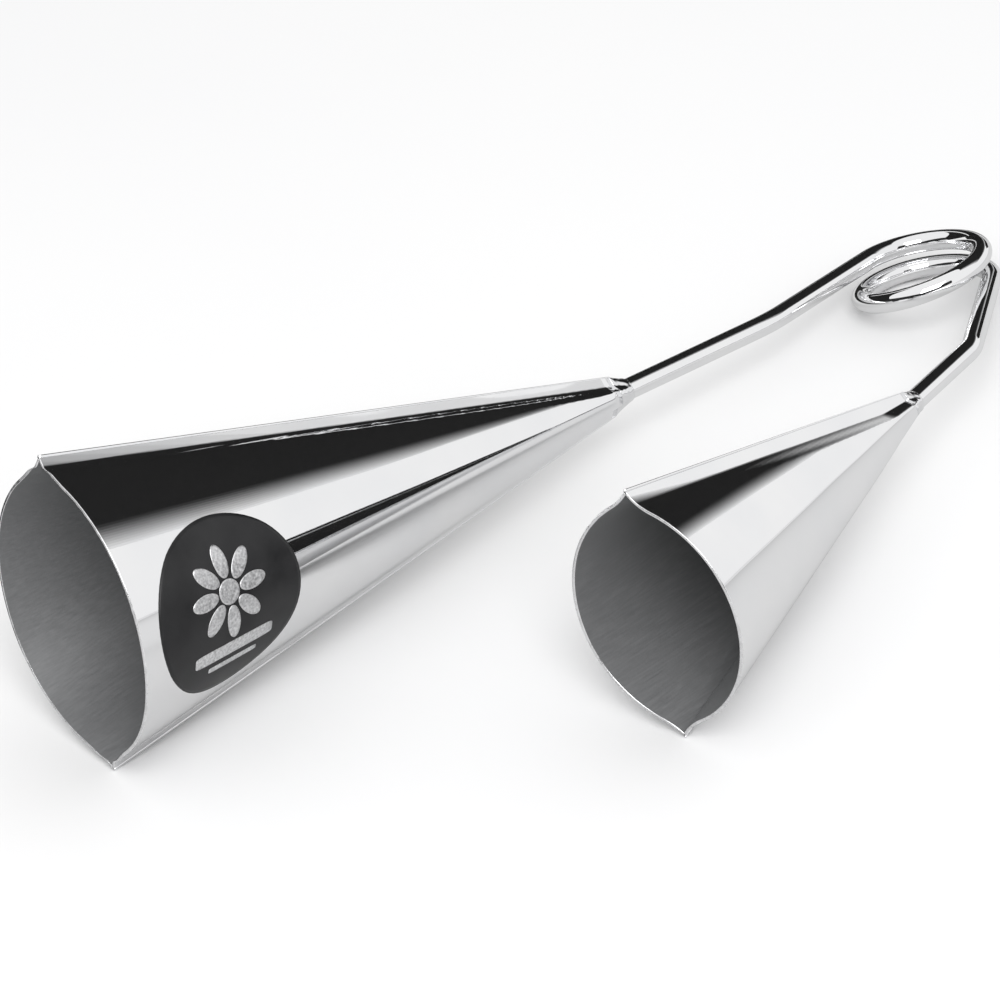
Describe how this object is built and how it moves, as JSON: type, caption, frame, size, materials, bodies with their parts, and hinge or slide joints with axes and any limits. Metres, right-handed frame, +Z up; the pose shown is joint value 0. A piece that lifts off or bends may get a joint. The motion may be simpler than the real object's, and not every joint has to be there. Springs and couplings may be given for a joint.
{
  "type": "agogo bells",
  "caption": "Hand-held pair of conical sheet-steel bells on a bent, coiled spring rod; squeezing the rod brings the bells together.",
  "frame": {"origin": "centre of the footprint, on the table that the set lies on", "axes": "+Z up, -X towards the bells' mouths, +X towards the coil, +Y from the small bell to the large bell"},
  "size_m": [0.3708, 0.1941, 0.0951],
  "materials": {
    "bell_sheet": "mirror outside, brushed inside",
    "rod": "mirror",
    "weld": "mirror over a smooth weld bead",
    "emblem_film": "semi-gloss film",
    "emblem_silver": "frosted silver print"
  },
  "bodies": {
    "large_bell": {"large_bell_front_shell": "bell_sheet", "large_bell_back_shell": "bell_sheet", "large_bell_top_weld": "bell_sheet", "large_bell_bottom_weld": "bell_sheet", "large_neck_weld": "weld", "large_bell_arm": "rod", "spring_coil": "rod", "emblem_disc": "emblem_film", "emblem_print": "emblem_silver"},
    "small_bell": {"small_bell_front_shell": "bell_sheet", "small_bell_back_shell": "bell_sheet", "small_bell_top_weld": "bell_sheet", "small_bell_bottom_weld": "bell_sheet", "small_neck_weld": "weld", "small_bell_arm": "rod"}
  },
  "joints": [
    {"name": "squeeze", "type": "hinge", "parent": "small_bell", "child": "large_bell", "pos_m": [0.1598, 0.0283, 0.01304], "axis": [0, 0.3469, 0.9379], "range_deg": [0, 18], "stiffness_Nm_per_rad": 60, "deforming": ["spring_coil"]}
  ]
}
